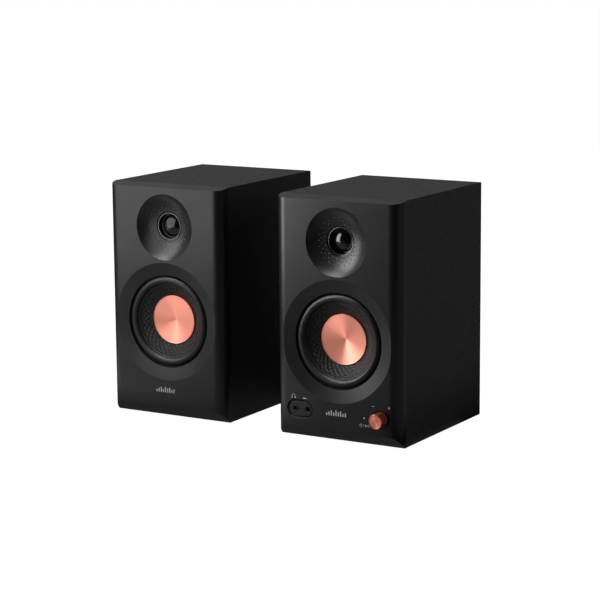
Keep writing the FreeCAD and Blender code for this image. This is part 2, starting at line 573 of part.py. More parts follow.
# tone controls: two pots behind the plate and their knobs
pots = []
for u in (D.in_a, D.in_b):
    pots.append(cut(fuse(mid_box(u, pv - 9, D.tone_z, 12, 8.6, 12), cyl(3.3, u, pv - 1, D.tone_z, 2.6)), cyl(3.02, u, pv - 8, D.tone_z, 12)))
node(group(*pots), "tone_pots", S)
for name, u in (("bass_knob", D.in_a), ("treble_knob", D.in_b)):
    tk = turned([(0, -7.6), (2.95, -7.6), (2.95, 2.3), (D.trim_rad, 2.3), (D.trim_rad - 0.3, 9.4), (D.trim_rad - 0.9, 10.0), (0, 10.0)])
    sc = profile(tk, "XZ_Plane", [(D.trim_rad - 0.45, 0), (D.trim_rad + 0.4, -0.5), (D.trim_rad + 0.4, 0.5)])
    kp = tk.newObject("PartDesign::Pocket", uid("Knurl"))
    kp.Profile = sc
    kp.Length = 40.0
    kp.SideType = "Symmetric"
    tk.Tip = kp
    around(tk, kp, 18)
    node(cut(tk, mid_box(0, 9.4, 3.2, 0.8, 2, 5.0)), name, S, D.tone_z, u, pv)

# balanced jacks with their nuts, phono sockets
jacks = []
for u in (D.in_a, D.in_b):
    sleeve = turned([(3.3, -25), (8, -25), (8, 0), (4.9, 0), (4.9, 2.0), (7.4, 2.0), (7.6, 2.3), (7.6, 4.0), (7.2, 4.4), (3.7, 4.4), (3.3, 4.0)], u, D.balanced_z)
    place(sleeve, u, pv, D.balanced_z)
    jacks.append(sleeve)
node(group(*jacks), "balanced_jacks", S)
phono = []
for u in (D.in_a, D.in_b):
    barrel = turned([(1.7, -8), (6.5, -8), (6.5, 0), (4.5, 0), (4.5, 2.0), (6.6, 2.0), (6.6, 3.2), (4.15, 3.2), (4.15, 9.6), (3.9, 9.9),
                     (3.4, 9.9), (3.4, 3.4), (3.1, 3.2), (2.6, 3.2), (2.6, 8.8), (1.7, 8.8)])
    place(barrel, u, pv, D.phono_z)
    phono.append(barrel)
node(group(*phono), "phono_sockets", S)

# amplifier board: components on a board held behind the plate
ab = [mid_box(0, 124, 100, 82, 1.6, 84)]
for u, w, rad, tall in ((-30, 128, 6, 14), (-14, 128, 6, 14), (4, 130, 5, 10), (30, 120, 8, 16), (30, 100, 8, 16)):
    ab.append(cyl(rad, u, 124 - tall, w, tall))
ab += [mid_box(-12, 112, 96, 30, 12, 18), mid_box(20, 121.5, 76, 14, 2.5, 14)]
node(fuse(*ab), "amplifier_board", S)
# power supply board on the floor of the cabinet
ps = [box(-46, 66, 12, 92, 62, 1.6), box(-40, 80, 13.6, 30, 28, 24), box(20, 72, 13.6, 20, 16, 12)]
for u, v, rad, tall in ((4, 76, 8, 26), (4, 98, 8, 26), (30, 112, 6, 18), (-4, 118, 4, 12)):
    ps.append(cyl(rad, u, v, 13.6, tall, "Z"))
ps += [cyl(3, su * 42, v, 9, 3, "Z") for su in (1, -1) for v in (70, 124)]
node(fuse(*ps), "power_supply_board", S)

# ==========================================================================
# Left speaker: crossover board on the floor of the cabinet
# ==========================================================================
xo = [box(-34, 78, 12, 68, 50, 1.6), cyl(12, -18, 98, 13.6, 12, "Z"), cyl(8, 14, 92, 13.6, 10, "Z"), box(4, 108, 13.6, 24, 10, 12)]
xo += [cyl(3, su * 30, v, 9, 3, "Z") for su in (1, -1) for v in (82, 124)]
node(fuse(*xo), "crossover_board", "left")

# ==========================================================================
doc.recompute()
bad = [o.Label for o in doc.Objects if "Invalid" in o.State or "Error" in o.State]
if bad:
    raise RuntimeError("failed features: %s" % bad)
names = [o.Label for o in finals]
if len(set(names)) != len(names) or len(names) > 60:
    raise RuntimeError("names: %d of %d" % (len(set(names)), len(names)))
for o in finals:
    if o.Shape.isNull() or not o.Shape.isValid() or not o.Shape.Solids:
        raise RuntimeError("bad shape: %s" % o.Label)
os.makedirs("parts", exist_ok=True)
box_all = FreeCAD.BoundBox()
for o in finals:
    o.Shape.exportStep("parts/%s.step" % o.Label)
    bb = o.Shape.BoundBox
    box_all.add(bb)
    print("%-28s solids %2d volume %11.1f  x %.1f..%.1f y %.1f..%.1f z %.1f..%.1f" % (
        o.Label, len(o.Shape.Solids), o.Shape.Volume, bb.XMin, bb.XMax, bb.YMin, bb.YMax, bb.ZMin, bb.ZMax))
print("nodes", len(finals), "box", box_all)
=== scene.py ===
import bpy
import json
import math
from mathutils import Matrix, Vector
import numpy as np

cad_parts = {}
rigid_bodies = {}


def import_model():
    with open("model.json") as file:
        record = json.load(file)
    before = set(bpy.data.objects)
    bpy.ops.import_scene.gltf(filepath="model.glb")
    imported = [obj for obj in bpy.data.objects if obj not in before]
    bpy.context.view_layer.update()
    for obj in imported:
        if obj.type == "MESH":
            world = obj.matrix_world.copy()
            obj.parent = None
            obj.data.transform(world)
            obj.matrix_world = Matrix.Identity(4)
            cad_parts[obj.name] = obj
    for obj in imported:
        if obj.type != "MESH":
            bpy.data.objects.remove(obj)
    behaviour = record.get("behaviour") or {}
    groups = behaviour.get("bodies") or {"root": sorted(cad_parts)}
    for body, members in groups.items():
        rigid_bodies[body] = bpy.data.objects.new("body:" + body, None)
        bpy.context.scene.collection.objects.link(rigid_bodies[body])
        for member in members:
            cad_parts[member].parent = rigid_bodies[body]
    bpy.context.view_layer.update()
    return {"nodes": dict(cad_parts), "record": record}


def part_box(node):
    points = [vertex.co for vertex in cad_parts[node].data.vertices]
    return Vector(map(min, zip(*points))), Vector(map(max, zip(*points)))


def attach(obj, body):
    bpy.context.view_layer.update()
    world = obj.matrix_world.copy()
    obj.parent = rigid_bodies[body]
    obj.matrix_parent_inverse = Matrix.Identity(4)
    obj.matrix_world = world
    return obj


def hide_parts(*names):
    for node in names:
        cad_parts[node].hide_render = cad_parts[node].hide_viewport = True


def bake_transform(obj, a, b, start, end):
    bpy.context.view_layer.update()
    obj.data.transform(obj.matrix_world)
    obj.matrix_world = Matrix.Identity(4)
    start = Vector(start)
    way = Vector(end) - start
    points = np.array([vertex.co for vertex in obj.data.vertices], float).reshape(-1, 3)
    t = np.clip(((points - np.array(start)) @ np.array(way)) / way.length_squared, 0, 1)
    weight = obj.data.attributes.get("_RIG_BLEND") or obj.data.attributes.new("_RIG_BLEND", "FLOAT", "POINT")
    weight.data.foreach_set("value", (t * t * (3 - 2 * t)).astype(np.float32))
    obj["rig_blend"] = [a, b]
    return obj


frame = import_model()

MM = 0.001
NODES = frame["nodes"]
pi = math.pi

# --------------------------------------------------------------------------
# Where things are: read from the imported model
# --------------------------------------------------------------------------
SIDE = {}
for side in ("right", "left"):
    lo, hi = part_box(side + "_front_baffle")
    cap_lo, cap_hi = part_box(side + "_dust_cap")
    dome_lo, dome_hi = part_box(side + "_tweeter_dome")
    port_lo, port_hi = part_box(side + "_port_tube")
    SIDE[side] = {
        "x": (lo.x + hi.x) / 2, "y": lo.y, "z": lo.z,
        "woofer": (cap_lo.z + cap_hi.z) / 2, "tweeter": (dome_lo.z + dome_hi.z) / 2,
        "port": (port_lo.z + port_hi.z) / 2, "back": port_hi.y,
    }

# --------------------------------------------------------------------------
# Camera first
# --------------------------------------------------------------------------
yaw, pitch, roll = math.radians(-30.915), math.radians(10.238), math.radians(-0.485)
fwd = Vector((math.sin(yaw) * math.cos(pitch), math.cos(yaw) * math.cos(pitch), -math.sin(pitch)))
rgt = Vector((math.cos(yaw), -math.sin(yaw), 0))
upv = rgt.cross(fwd)
rgt, upv = math.cos(roll) * rgt + math.sin(roll) * upv, -math.sin(roll) * rgt + math.cos(roll) * upv
cam_data = bpy.data.cameras.new("camera")
cam = bpy.data.objects.new("camera", cam_data)
bpy.context.scene.collection.objects.link(cam)
m = Matrix((rgt, upv, -fwd)).transposed().to_4x4()
m.translation = Vector((0.97804, -1.61736, 0.44987))
cam.matrix_world = m
cam_data.lens, cam_data.sensor_width = 125.15, 36.0
cam_data.clip_start, cam_data.clip_end = 0.05, 60
bpy.context.scene.camera = cam

# --------------------------------------------------------------------------
# Material helpers
# --------------------------------------------------------------------------
class Mat:
    def __init__(self, name, base=(0.05, 0.05, 0.05), rough=0.5, metal=0.0, **more):
        self.m = bpy.data.materials.new(name)
        self.m.use_nodes = True
        self.t = self.m.node_tree
        self.b = self.t.nodes["Principled BSDF"]
        self.b.inputs["Base Color"].default_value = (*base, 1)
        self.b.inputs["Roughness"].default_value = rough
        self.b.inputs["Metallic"].default_value = metal
        for key, value in more.items():
            self.b.inputs[key.replace("_", " ")].default_value = value
        self.coord = None
        self.normal = None

    def node(self, kind, **props):
        n = self.t.nodes.new(kind)
        for key, value in props.items():
            setattr(n, key, value)
        return n

    def link(self, a, b):
        self.t.links.new(a, b)

    def where(self, kind="Object"):
        if self.coord is None:
            self.coord = self.node("ShaderNodeTexCoord")
        return self.coord.outputs[kind]

    def noise(self, scale, detail=2.0, rough=0.5, vec=None, stretch=None):
        n = self.node("ShaderNodeTexNoise")
        n.inputs["Scale"].default_value = scale
        n.inputs["Detail"].default_value = detail
        n.inputs["Roughness"].default_value = rough
        src = vec or self.where()
        if stretch:
            mp = self.node("ShaderNodeMapping")
            mp.inputs["Scale"].default_value = stretch
            self.link(src, mp.inputs["Vector"])
            src = mp.outputs["Vector"]
        self.link(src, n.inputs["Vector"])
        return n.outputs["Fac"]

    def voronoi(self, scale, feature="F1", vec=None, smooth=None):
        n = self.node("ShaderNodeTexVoronoi", feature=feature)
        n.inputs["Scale"].default_value = scale
        if smooth is not None:
            n.inputs["Smoothness"].default_value = smooth
        self.link(vec or self.where(), n.inputs["Vector"])
        return n.outputs["Distance"]

    def math(self, op, a, b=None, clamp=False):
        n = self.node("ShaderNodeMath", operation=op, use_clamp=clamp)
        for i, s in enumerate((a, b)):
            if s is None:
                continue
            if isinstance(s, (int, float)):
                n.inputs[i].default_value = s
            else:
                self.link(s, n.inputs[i])
        return n.outputs[0]

    def ramp(self, fac, stops):
        n = self.node("ShaderNodeValToRGB")
        el = n.color_ramp.elements
        while len(el) < len(stops):
            el.new(0.5)
        for e, (pos, col) in zip(el, stops):
            e.position = pos
            e.color = (*col, 1) if not isinstance(col, (int, float)) else (col, col, col, 1)
        self.link(fac, n.inputs["Fac"])
        return n.outputs["Color"]

    def range(self, fac, lo, hi, f0=0.0, f1=1.0):
        n = self.node("ShaderNodeMapRange")
        n.inputs["From Min"].default_value = f0
        n.inputs["From Max"].default_value = f1
        n.inputs["To Min"].default_value = lo
        n.inputs["To Max"].default_value = hi
        self.link(fac, n.inputs["Value"])
        return n.outputs["Result"]

    def bump(self, height, dist, strength=1.0):
        n = self.node("ShaderNodeBump")
        n.inputs["Distance"].default_value = dist
        n.inputs["Strength"].default_value = strength
        self.link(height, n.inputs["Height"])
        if self.normal is not None:
            self.link(self.normal, n.inputs["Normal"])
        self.normal = n.outputs["Normal"]
        self.link(self.normal, self.b.inputs["Normal"])
        return self

    def colour(self, out):
        self.link(out, self.b.inputs["Base Color"])
        return self

    def rough(self, out):
        self.link(out, self.b.inputs["Roughness"])
        return self

    def tangent(self):
        n = self.node("ShaderNodeTangent", direction_type="UV_MAP")
        n.uv_map = "UVMap"
        self.link(n.outputs["Tangent"], self.b.inputs["Tangent"])
        return self


def sep(mt, src):
    n = mt.node("ShaderNodeSeparateXYZ")
    mt.link(src, n.inputs[0])
    return n.outputs


# --- the finishes ---------------------------------------------------------
MATS = {}


def vinyl():
    mt = Mat("cabinet_vinyl", (0.010, 0.010, 0.010), 0.5)
    cell = mt.voronoi(1150, "SMOOTH_F1", smooth=0.35)
    big = mt.noise(420, 2)
    h = mt.math("ADD", mt.math("MULTIPLY", cell, -1.0), mt.math("MULTIPLY", big, 0.6))
    mt.bump(h, 0.00022, 0.9)
    mt.bump(mt.noise(3200, 2), 0.00003, 0.6)
    # colour follows the grain's height: lighter on the crests and darker in the hollows between the cells, which is
    # painted shade in the grain's hollows
    crest = mt.range(cell, 1.0, 0.0, 0.0, 0.75)
    mt.colour(mt.ramp(crest, [(0.0, 0.005), (0.55, 0.010), (1.0, 0.020)]))
    mt.rough(mt.range(mt.noise(900, 3), 0.40, 0.62, 0.3, 0.7))
    return mt


def satin():
    mt = Mat("baffle_satin", (0.010, 0.010, 0.010), 0.42)
    mt.bump(mt.noise(2600, 3, 0.6), 0.000035, 0.7)
    mt.bump(mt.voronoi(1900, "F1"), 0.00002, 0.5)
    mt.colour(mt.ramp(mt.noise(2400, 2), [(0.3, 0.008), (0.7, 0.012)]))
    mt.rough(mt.range(mt.noise(60, 4), 0.29, 0.34, 0.3, 0.7))
    return mt


def board():
    mt = Mat("board_black", (0.015, 0.015, 0.015), 0.6)
    mt.bump(mt.noise(900, 4, 0.6), 0.00008, 0.6)
    mt.colour(mt.ramp(mt.noise(350, 5, 0.65), [(0.3, 0.010), (0.7, 0.022)]))
    mt.rough(mt.range(mt.noise(120, 4), 0.5, 0.7, 0.3, 0.7))
    return mt


def rubber(name, base, rough, dust=0.5):
    mt = Mat(name, (base,) * 3, rough)
    mt.bump(mt.noise(1500, 3), 0.00003, 0.5)
    mt.colour(mt.ramp(mt.noise(180, 5, 0.6), [(0.3, base * 0.8), (0.75, base * (1 + dust))]))
    mt.rough(mt.range(mt.noise(90, 4), rough - 0.05, rough + 0.08, 0.3, 0.7))
    return mt


def turned(name, base, dark, rough=0.26, aniso=0.9, pitch=5200):
    """Metal cut on a lathe: very fine rings, with a little tone from ring to ring."""
    mt = Mat(name, base, rough, 1.0, Anisotropic=aniso, Anisotropic_Rotation=0.25)
    uv = sep(mt, mt.where("UV"))
    rings = mt.node("ShaderNodeTexNoise", noise_dimensions="1D")
    rings.inputs["Scale"].default_value = 1.0
    rings.inputs["Detail"].default_value = 3.0
    mt.link(mt.math("MULTIPLY", uv[1], pitch), rings.inputs["W"])
    mt.bump(rings.outputs["Fac"], 0.000012, 0.35)
    mt.colour(mt.ramp(rings.outputs["Fac"], [(0.25, dark), (0.75, base)]))
    mt.rough(mt.range(rings.outputs["Fac"], rough - 0.04, rough + 0.06, 0.3, 0.7))
    mt.tangent()
    return mt


def moulded(name, base, rough, grain=1800, depth=0.00003, metal=0.0, **more):
    mt = Mat(name, (base,) * 3 if isinstance(base, float) else base, rough, metal, **more)
    rgb = (base,) * 3 if isinstance(base, float) else base
    mt.bump(mt.noise(grain, 3), depth, 0.6)
    mt.colour(mt.ramp(mt.noise(grain * 0.2, 4), [(0.3, tuple(c * 0.86 for c in rgb)), (0.7, tuple(min(1, c * 1.12) for c in rgb))]))
    mt.rough(mt.range(mt.noise(110, 4), max(0.02, rough - 0.04), rough + 0.05, 0.3, 0.7))
    return mt


def woven():
    """Black woven cone skin: a fine over-and-under weave in the plane of the cone."""
    mt = Mat("cone_black", (0.012, 0.012, 0.012), 0.36, 0.0)
    c = sep(mt, mt.where())
    f = 2 * pi / 0.0021
    a = mt.math("MULTIPLY", mt.math("ADD", c[0], c[2]), f * 0.7071)
    b = mt.math("MULTIPLY", mt.math("SUBTRACT", c[0], c[2]), f * 0.7071)
    sa, sb = mt.math("SINE", a), mt.math("SINE", b)
    over = mt.math("GREATER_THAN", mt.math("MULTIPLY", sa, sb), 0.0)
    warp = mt.math("ABSOLUTE", sa)
    weft = mt.math("ABSOLUTE", sb)
    h = mt.math("ADD", mt.math("MULTIPLY", over, warp), mt.math("MULTIPLY", mt.math("SUBTRACT", 1.0, over), weft))
    mt.bump(h, 0.00022, 0.8)
    mt.bump(mt.noise(2600, 3), 0.00003, 0.6)
    mt.colour(mt.ramp(mt.math("ADD", mt.math("MULTIPLY", over, 0.5), mt.math("MULTIPLY", mt.noise(500, 3), 0.5)),
                      [(0.2, 0.008), (0.9, 0.030)]))
    mt.rough(mt.range(over, 0.30, 0.46))
    return mt


def pcb():
    mt = Mat("circuit_board", (0.02, 0.10, 0.05), 0.35)
    v = mt.voronoi(700, "F1")
    mt.colour(mt.ramp(v, [(0.0, (0.55, 0.50, 0.32)), (0.12, (0.55, 0.50, 0.32)), (0.16, (0.012, 0.075, 0.035)), (1.0, (0.02, 0.12, 0.06))]))
    mt.bump(v, 0.00005, 0.4)
    return mt


MATS["cabinet_vinyl"] = vinyl()
MATS["baffle_satin"] = satin()
MATS["board_black"] = board()
MATS["surround_rubber"] = rubber("surround_rubber", 0.007, 0.40, 0.3)
MATS["foot_rubber"] = rubber("foot_rubber", 0.02, 0.75)
MATS["cone_black"] = woven()
MATS["spider_cloth"] = moulded("spider_cloth", (0.42, 0.27, 0.10), 0.8, 2200, 0.0001)
MATS["copper_turned"] = turned("copper_turned", (0.90, 0.36, 0.27), (0.80, 0.29, 0.21), 0.42, 0.90)
MATS["coil_copper"] = moulded("coil_copper", (0.66, 0.28, 0.14), 0.35, 2600, 0.00004, 1.0)
MATS["copper_cut"] = moulded("copper_cut", (0.40, 0.11, 0.07), 0.34, 1800, 0.00002, 1.0)
MATS["knob_turned"] = turned("knob_turned", (0.56, 0.19, 0.135), (0.46, 0.14, 0.10), 0.36, 0.92)
MATS["steel_black"] = moulded("steel_black", 0.018, 0.46, 1500, 0.00005)
MATS["magnet_steel"] = moulded("magnet_steel", 0.12, 0.4, 900, 0.00006, 0.8)
MATS["screw_black"] = moulded("screw_black", 0.06, 0.32, 1200, 0.00003, 0.9)
MATS["tweeter_plastic"] = moulded("tweeter_plastic", 0.008, 0.22, 900, 0.00001)
MATS["trim_chrome"] = moulded("trim_chrome", 0.26, 0.16, 600, 0.000004, 1.0)
MATS["dome_gloss"] = moulded("dome_gloss", 0.006, 0.06, 300, 0.000004, Coat_Weight=0.6, Coat_Roughness=0.03)
MATS["port_plastic"] = moulded("port_plastic", 0.013, 0.45)
MATS["moulded_black"] = moulded("moulded_black", 0.016, 0.42)
MATS["clip_red"] = moulded("clip_red", (0.42, 0.012, 0.010), 0.28, 900, 0.00002)
MATS["clip_black"] = moulded("clip_black", 0.012, 0.28, 900, 0.00002)
MATS["rocker_black"] = moulded("rocker_black", 0.012, 0.25, 700, 0.00002)
MATS["trim_knob_black"] = moulded("trim_knob_black", 0.02, 0.5)
MATS["steel_bright"] = moulded("steel_bright", 0.55, 0.28, 1100, 0.00002, 1.0)
MATS["jack_body"] = moulded("jack_body", 0.018, 0.36)
MATS["light_clear"] = moulded("light_clear", (0.62, 0.66, 0.70), 0.25, 700, 0.00001)
MATS["circuit_board"] = pcb()
MATS["cup_gloss"] = moulded("cup_gloss", 0.16, 0.24, 900, 0.00001, 1.0)
MATS["bead_gloss"] = moulded("bead_gloss", 0.014, 0.22, 900, 0.00001)
print_ink = moulded("print_silver", (0.60, 0.60, 0.60), 0.4, 2500, 0.00001)
print_plate = moulded("print_pale", (0.50, 0.50, 0.50), 0.5, 2500, 0.00001)

# every CAD node gets the finish of its slot
slot_of = {s["node"]: s["material_slot"] for s in frame["record"]["subparts"]}
for name, obj in NODES.items():
    mt = MATS[slot_of[name]].m
    if not obj.material_slots:
        obj.data.materials.append(mt)
    for ms in obj.material_slots:
        ms.material = mt

# --------------------------------------------------------------------------
# Mesh helpers
# --------------------------------------------------------------------------
def keep(mesh, name, centre, body, mat, replaces=(), sharp=35):
    o = bpy.data.objects.new(name, mesh)
    o.location = centre
    bpy.context.scene.collection.objects.link(o)
    mesh.materials.append(mat)
    mesh.shade_smooth()
    mesh.set_sharp_from_angle(angle=math.radians(sharp))
    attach(o, body)
    if replaces:
        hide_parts(*replaces)
    return o


def lathe_mesh(name, prof, segs=192, closed=True, shift=None):
    """Turn (radius, depth) points in mm about the Y axis. Poles at radius 0 become fans.
    shift(angle, i, r, v) may move a point."""
    verts, rows, uvs = [], [], {}
    for i, (r, v) in enumerate(prof):
        if r < 1e-6:
            rows.append([len(verts)])
            verts.append((0.0, v * MM, 0.0))
            continue
        row = []
        for k in range(segs):
            a = 2 * pi * k / segs
            rr, vv = shift(a, i, r, v) if shift else (r, v)
            row.append(len(verts))
            verts.append((rr * math.cos(a) * MM, vv * MM, rr * math.sin(a) * MM))
        rows.append(row)
    length = [0.0]
    n = len(prof)
    for i in range(n):
        a, b = prof[i], prof[(i + 1) % n]
        length.append(length[-1] + math.hypot(b[0] - a[0], b[1] - a[1]))
    total = length[-1] or 1
    faces, fuv = [], []
    for i in range(n if closed else n - 1):
        A, B = rows[i], rows[(i + 1) % n]
        t0, t1 = length[i] / total, length[i + 1] / total
        if len(A) == 1 and len(B) == 1:
            continue
        for k in range(segs):
            k2 = (k + 1) % segs
            u0, u1 = k / segs, (k + 1) / segs
            if len(A) == 1:
                faces.append((A[0], B[k2], B[k]))
                fuv.append(((u0 + u1) / 2, t0, u1, t1, u0, t1))
            elif len(B) == 1:
                faces.append((A[k], A[k2], B[0]))
                fuv.append((u0, t0, u1, t0, (u0 + u1) / 2, t1))
            else:
                faces.append((A[k], A[k2], B[k2], B[k]))
                fuv.append((u0, t0, u1, t0, u1, t1, u0, t1))
    mesh = bpy.data.meshes.new(name)
    mesh.from_pydata(verts, [], faces)
    uv = mesh.uv_layers.new(name="UVMap")
    flat = [c for f in fuv for c in f]
    uv.data.foreach_set("uv", flat)
    mesh.update()
    # faces look outwards
    area = sum(prof[i][0] * prof[(i + 1) % n][1] - prof[(i + 1) % n][0] * prof[i][1] for i in range(n))
    if area < 0:
        mesh.flip_normals()
    return mesh


def arc(cr, cv, rad, a0, a1, n):
    """Profile points on an arc; angles in degrees, 0 along +radius, 90 along +depth."""
    return [(cr + rad * math.cos(math.radians(a0 + (a1 - a0) * i / n)), cv + rad * math.sin(math.radians(a0 + (a1 - a0) * i / n)))
            for i in range(n + 1)]


def line(a, b, n):
    return [(a[0] + (b[0] - a[0]) * i / n, a[1] + (b[1] - a[1]) * i / n) for i in range(n + 1)]


def soften(obj, width, segments=2, angle=32):
    """A small round on the hard edges of a CAD piece."""
    w = obj.modifiers.new("weld", "WELD")
    w.merge_threshold = 0.000004
    b = obj.modifiers.new("round", "BEVEL")
    b.width = width
    b.segments = segments
    b.limit_method = "ANGLE"
    b.angle_limit = math.radians(angle)
    b.harden_normals = True


def ramp01(x, a, b):
    """0 before a, 1 after b, smooth between."""
    t = min(1.0, max(0.0, (x - a) / (b - a)))
    return t * t * (3 - 2 * t)


def rounded(prof, radius, steps=4, only=None):
    """Round the corners of a closed (radius, depth) outline."""
    out = []
    n = len(prof)
    for i, p in enumerate(prof):
        a, b = prof[i - 1], prof[(i + 1) % n]
        if p[0] < 1e-6 or (only is not None and i not in only):
            out.append(p)
            continue
        va, vb = (a[0] - p[0], a[1] - p[1]), (b[0] - p[0], b[1] - p[1])
        la, lb = math.hypot(*va), math.hypot(*vb)
        rr = min(radius, la * 0.45, lb * 0.45)
        pa = (p[0] + va[0] / la * rr, p[1] + va[1] / la * rr)
        pb = (p[0] + vb[0] / lb * rr, p[1] + vb[1] / lb * rr)
        for k in range(steps + 1):
            t = k / steps
            out.append(((1 - t) ** 2 * pa[0] + 2 * t * (1 - t) * p[0] + t * t * pb[0],
                        (1 - t) ** 2 * pa[1] + 2 * t * (1 - t) * p[1] + t * t * pb[1]))
    return out


class Build:
    """Gathers closed solids into one mesh, points in mm."""

    def __init__(self):
        self.v, self.f = [], []

    def prism(self, outline, y0, y1):
        """Outline points (x, z), counter-clockwise seen from the front (-Y); y0 is the front."""
        n, k = len(outline), len(self.v)
        self.v += [(x, y0, z) for x, z in outline] + [(x, y1, z) for x, z in outline]
        self.f.append([k + i for i in range(n)])
        self.f.append([k + n + i for i in reversed(range(n))])
        for i in range(n):
            j = (i + 1) % n
            self.f.append([k + j, k + i, k + n + i, k + n + j])

    def bar(self, x, z, w, h, y0, y1, turn=0.0, round_=0.0):
        c, s = math.cos(turn), math.sin(turn)
        pts = []
        r = min(round_, w / 2, h / 2)
        for sx, sz, a0 in ((1, -1, -90), (1, 1, 0), (-1, 1, 90), (-1, -1, 180)):
            cx, cz = sx * (w / 2 - r), sz * (h / 2 - r)
            steps = 4 if r > 0 else 0
            for i in range(steps + 1):
                a = math.radians(a0 + (90 * i / steps if steps else 45))
                pts.append((cx + r * math.cos(a), cz + r * math.sin(a)))
        self.prism([(x + c * px - s * pz, z + s * px + c * pz) for px, pz in pts], y0, y1)

    def arc_band(self, x, z, r0, r1, a0, a1, y0, y1, steps=20):
        """A flat curved band from angle a0 to a1, degrees, anticlockwise from +X."""
        out = [(x + r1 * math.cos(math.radians(a0 + (a1 - a0) * i / steps)), z + r1 * math.sin(math.radians(a0 + (a1 - a0) * i / steps)))
               for i in range(steps + 1)]
        inn = [(x + r0 * math.cos(math.radians(a0 + (a1 - a0) * i / steps)), z + r0 * math.sin(math.radians(a0 + (a1 - a0) * i / steps)))
               for i in reversed(range(steps + 1))]
        self.prism(out + inn, y0, y1)

    def disc(self, x, z, r, y0, y1, steps=24):
        self.prism([(x + r * math.cos(2 * pi * i / steps), z + r * math.sin(2 * pi * i / steps)) for i in range(steps)], y0, y1)

    def mesh(self, name):
        m = bpy.data.meshes.new(name)
        m.from_pydata([(x * MM, y * MM, z * MM) for x, y, z in self.v], [], self.f)
        m.update()
        return m


def facets(a, i, r, v):
    """A relief of small woven facets over the part of the cone that shows."""
    if i < 60 and 22.9 < r < 32.8:
        along = (33.0 - r) / 0.8277
        edge = ramp01(r, 22.9, 23.8) * (1 - ramp01(r, 31.6, 32.7))
        h = math.sin(34 * a) * math.sin(pi * along / 2.4)
        h = max(-1, min(1, h * 2.2))
        return r - 0.08 * h * edge, v - 0.13 * h * edge
    return r, v


